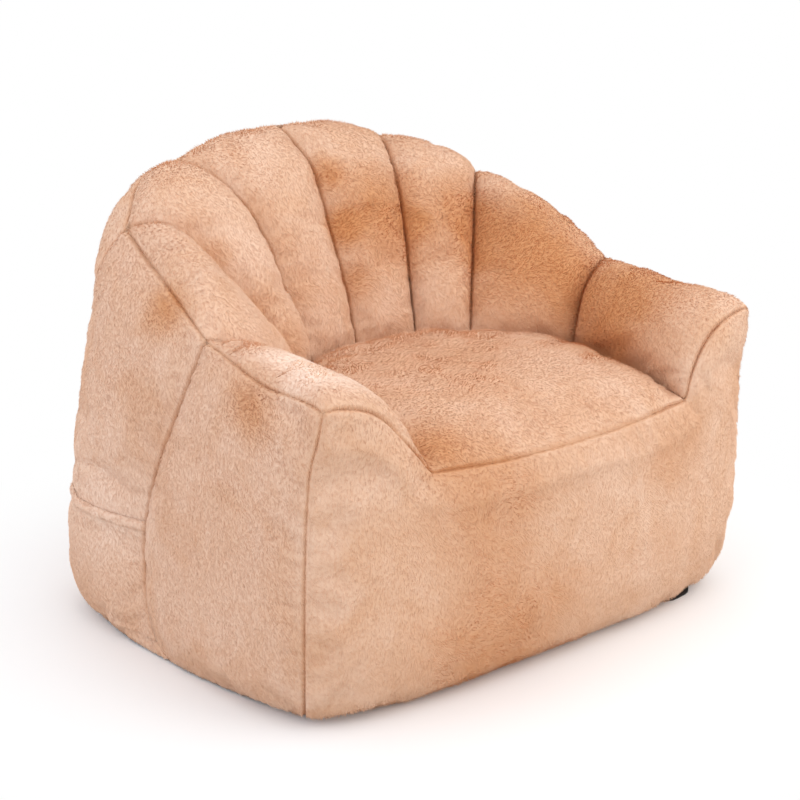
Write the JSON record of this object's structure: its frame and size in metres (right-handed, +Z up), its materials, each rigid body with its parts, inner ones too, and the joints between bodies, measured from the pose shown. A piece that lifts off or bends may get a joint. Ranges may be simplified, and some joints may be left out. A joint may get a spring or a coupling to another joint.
{
  "type": "bean bag chair",
  "caption": "Low bean bag armchair with a fanned, channelled back, rounded arms, a crowned seat, side pockets and a zipped faux-fur cover.",
  "frame": {"origin": "on the floor at the floor_contact mount, on the middle plane, about midway between the front and the flat of the back", "axes": "+Z up, front towards -Y, +X to the right as seen from the front"},
  "size_m": [0.9178, 0.8197, 0.7474],
  "materials": {
    "faux_fur": "short plush pile",
    "liner_cloth": "spun-bonded nonwoven",
    "shredded_foam": "loose shredded foam",
    "base_cloth": "dark woven non-slip cloth",
    "zip_tape": "woven polyester tape",
    "zip_teeth": "moulded coil",
    "zip_metal": "painted die-cast"
  },
  "bodies": {
    "root": {"arm_fill_left": "shredded_foam", "arm_fill_right": "shredded_foam", "arm_liner_left": "liner_cloth", "arm_liner_right": "liner_cloth", "arm_panel_left": "faux_fur", "arm_panel_right": "faux_fur", "back_channel_fill_1": "shredded_foam", "back_channel_fill_2": "shredded_foam", "back_channel_fill_3": "shredded_foam", "back_channel_fill_4": "shredded_foam", "back_channel_liner_1": "liner_cloth", "back_channel_liner_2": "liner_cloth", "back_channel_liner_3": "liner_cloth", "back_channel_liner_4": "liner_cloth", "back_channel_panel_1": "faux_fur", "back_channel_panel_2": "faux_fur", "back_channel_panel_3": "faux_fur", "back_channel_panel_4": "faux_fur", "back_panel": "faux_fur", "base_panel": "base_cloth", "front_fill": "shredded_foam", "front_liner": "liner_cloth", "front_panel": "faux_fur", "pocket_panel_left": "faux_fur", "pocket_panel_right": "faux_fur", "rear_side_panel_left": "faux_fur", "rear_side_panel_right": "faux_fur", "seat_fill": "shredded_foam", "seat_liner": "liner_cloth", "seat_panel": "faux_fur", "side_panel_left": "faux_fur", "side_panel_right": "faux_fur", "wing_fill_left": "shredded_foam", "wing_fill_right": "shredded_foam", "wing_liner_left": "liner_cloth", "wing_liner_right": "liner_cloth", "wing_panel_left": "faux_fur", "wing_panel_right": "faux_fur", "zip_stops": "zip_metal", "zip_tape_lower": "zip_tape", "zip_tape_upper": "zip_tape", "zip_teeth_lower": "zip_teeth", "zip_teeth_upper": "zip_teeth"},
    "zip_slider": {"zip_slider": "zip_metal"},
    "zip_pull": {"zip_pull": "zip_metal"}
  },
  "joints": [
    {"name": "zip_slide", "type": "slide", "parent": "root", "child": "zip_slider", "axis": [1, 0, 0], "range_m": [-0.3874, 0]},
    {"name": "zip_pull_turn", "type": "hinge", "parent": "zip_slider", "child": "zip_pull", "pos_m": [0.1937, 0.391, 0.105], "axis": [0, 0, -1], "range_deg": [0, 180]}
  ]
}
